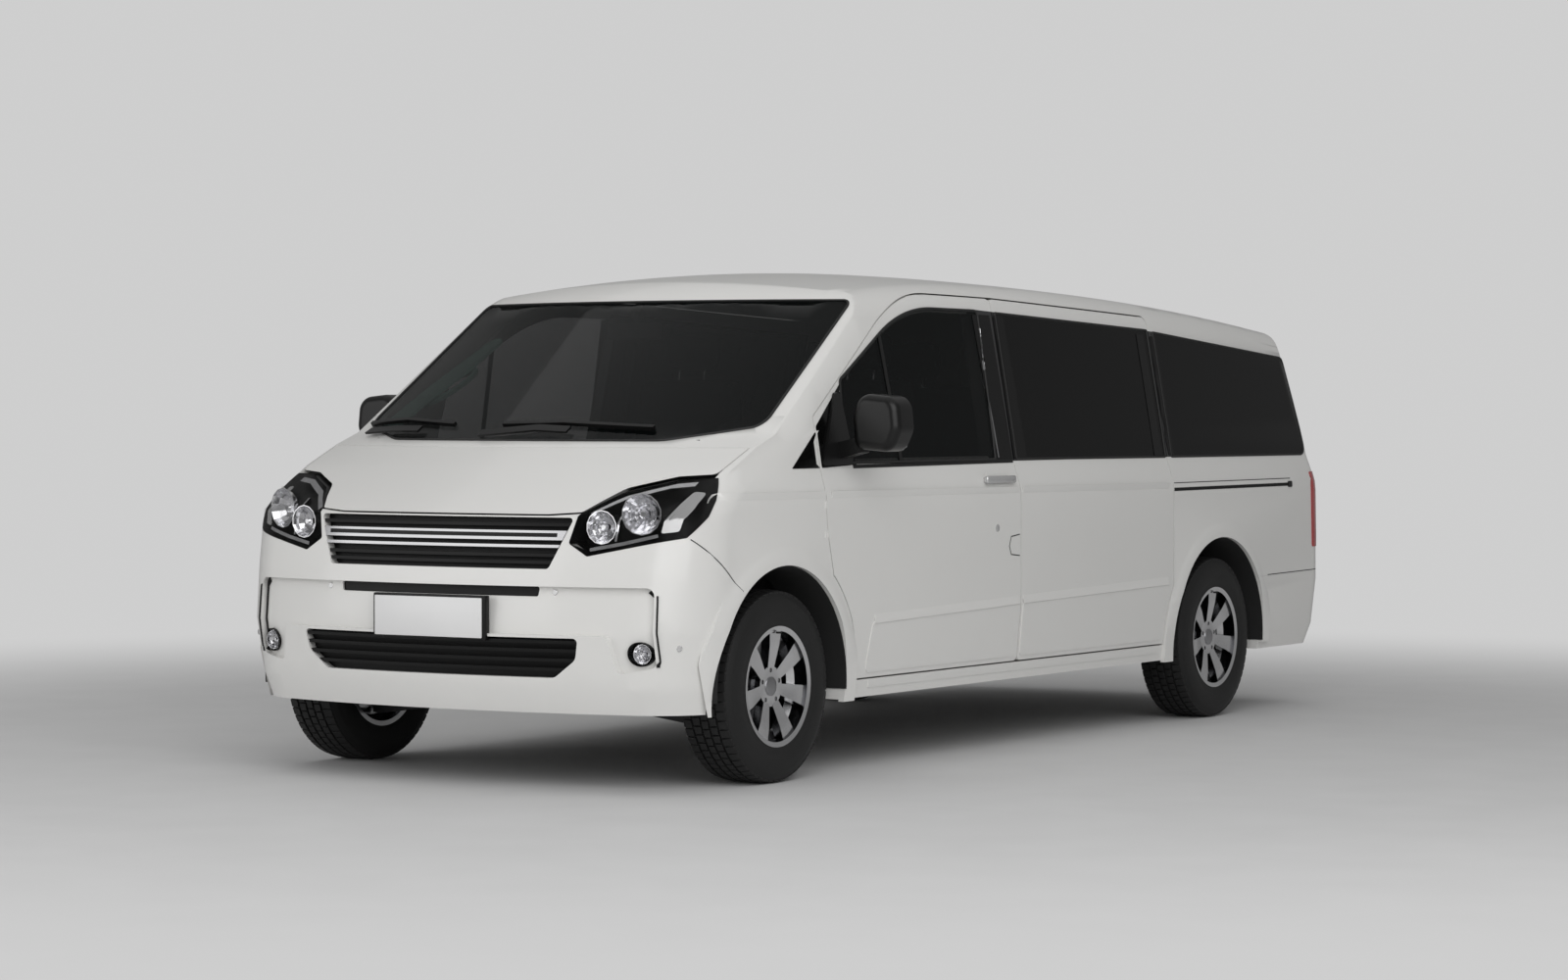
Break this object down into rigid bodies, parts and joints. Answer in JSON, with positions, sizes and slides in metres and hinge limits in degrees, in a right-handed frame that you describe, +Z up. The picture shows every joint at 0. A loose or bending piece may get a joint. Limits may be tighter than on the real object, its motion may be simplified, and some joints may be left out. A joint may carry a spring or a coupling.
{
  "type": "minibus",
  "caption": "One-box passenger minibus with hinged front doors, bonnet and lifting tailgate, fixed sliding side doors, steered front wheels and rows of seats in a hollow cabin.",
  "frame": {"origin": "on the ground, in the middle of the length and width", "axes": "+X to the vehicle's left, +Y towards its tail, +Z up"},
  "size_m": [2.4728, 5.3977, 1.8619],
  "materials": {
    "body_paint": "gloss",
    "underbody_paint": "satin",
    "dark_glass": "gloss",
    "lamp_lens": "gloss",
    "red_lens": "gloss",
    "black_plastic": "matt",
    "mirror_black": "gloss",
    "grille_chrome": "polished",
    "alloy": "satin",
    "tyre_rubber": "matt",
    "steel": "satin",
    "iron": "matt",
    "trim_grey": "matt",
    "seat_cloth": "matt",
    "tank_plastic": "matt"
  },
  "bodies": {
    "body": {"roof_panel": "body_paint", "side_body_left": "body_paint", "side_body_right": "body_paint", "cowl_panel": "body_paint", "floor_pan": "underbody_paint", "wheelhouse_liners": "black_plastic", "front_bumper": "body_paint", "rear_bumper": "body_paint", "front_grilles": "black_plastic", "grille_bars": "grille_chrome", "front_lamps": "lamp_lens", "tail_lamps": "red_lens", "windscreen": "dark_glass", "quarter_glass": "dark_glass", "sliding_door_left": "body_paint", "sliding_door_right": "body_paint", "sliding_door_glass": "dark_glass", "dashboard": "trim_grey", "steering_wheel": "black_plastic", "front_seats": "seat_cloth", "rear_seats": "seat_cloth", "engine_block": "iron", "front_subframe": "underbody_paint", "rear_axle": "iron", "exhaust": "steel", "fuel_tank": "tank_plastic"},
    "bonnet": {"bonnet": "body_paint"},
    "left_door": {"door_left": "body_paint", "door_glass_left": "dark_glass", "mirror_left": "mirror_black"},
    "right_door": {"door_right": "body_paint", "door_glass_right": "dark_glass", "mirror_right": "mirror_black"},
    "tailgate": {"tailgate": "body_paint", "tailgate_glass": "dark_glass"},
    "left_knuckle": {"knuckle_left": "iron"},
    "right_knuckle": {"knuckle_right": "iron"},
    "front_left_wheel": {"front_left_tyre": "tyre_rubber", "front_left_rim": "alloy"},
    "front_right_wheel": {"front_right_tyre": "tyre_rubber", "front_right_rim": "alloy"},
    "rear_left_wheel": {"rear_left_tyre": "tyre_rubber", "rear_left_rim": "alloy"},
    "rear_right_wheel": {"rear_right_tyre": "tyre_rubber", "rear_right_rim": "alloy"}
  },
  "joints": [
    {"name": "left_door_hinge", "type": "hinge", "parent": "body", "child": "left_door", "pos_m": [1.002, -1.67, 0.93], "axis": [0, 0, -1], "range_deg": [0, 65]},
    {"name": "right_door_hinge", "type": "hinge", "parent": "body", "child": "right_door", "pos_m": [-1.002, -1.67, 0.93], "axis": [0, 0, 1], "range_deg": [0, 65]},
    {"name": "bonnet_hinge", "type": "hinge", "parent": "body", "child": "bonnet", "pos_m": [0, -2.04, 1.2], "axis": [-1, 0, 0], "range_deg": [0, 50]},
    {"name": "tailgate_hinge", "type": "hinge", "parent": "body", "child": "tailgate", "pos_m": [0, 2.387, 1.73], "axis": [1, 0, 0], "range_deg": [0, 80]},
    {"name": "left_steer", "type": "hinge", "parent": "body", "child": "left_knuckle", "pos_m": [0.8, -1.95, 0.2], "axis": [-0.1961, 0, 0.9806], "range_deg": [-35, 35]},
    {"name": "right_steer", "type": "hinge", "parent": "body", "child": "right_knuckle", "pos_m": [-0.8, -1.95, 0.2], "axis": [0.1961, 0, 0.9806], "range_deg": [-35, 35]},
    {"name": "front_left_wheel_spin", "type": "hinge", "parent": "left_knuckle", "child": "front_left_wheel", "pos_m": [0.8825, -1.95, 0.343], "axis": [1, 0, 0], "continuous": true},
    {"name": "front_right_wheel_spin", "type": "hinge", "parent": "right_knuckle", "child": "front_right_wheel", "pos_m": [-0.8825, -1.95, 0.343], "axis": [1, 0, 0], "continuous": true},
    {"name": "rear_left_wheel_spin", "type": "hinge", "parent": "body", "child": "rear_left_wheel", "pos_m": [0.8825, 1.55, 0.343], "axis": [1, 0, 0], "continuous": true},
    {"name": "rear_right_wheel_spin", "type": "hinge", "parent": "body", "child": "rear_right_wheel", "pos_m": [-0.8825, 1.55, 0.343], "axis": [1, 0, 0], "continuous": true}
  ],
  "couplings": [
    {"joint": "right_steer", "follows": "left_steer", "ratio": 1}
  ]
}
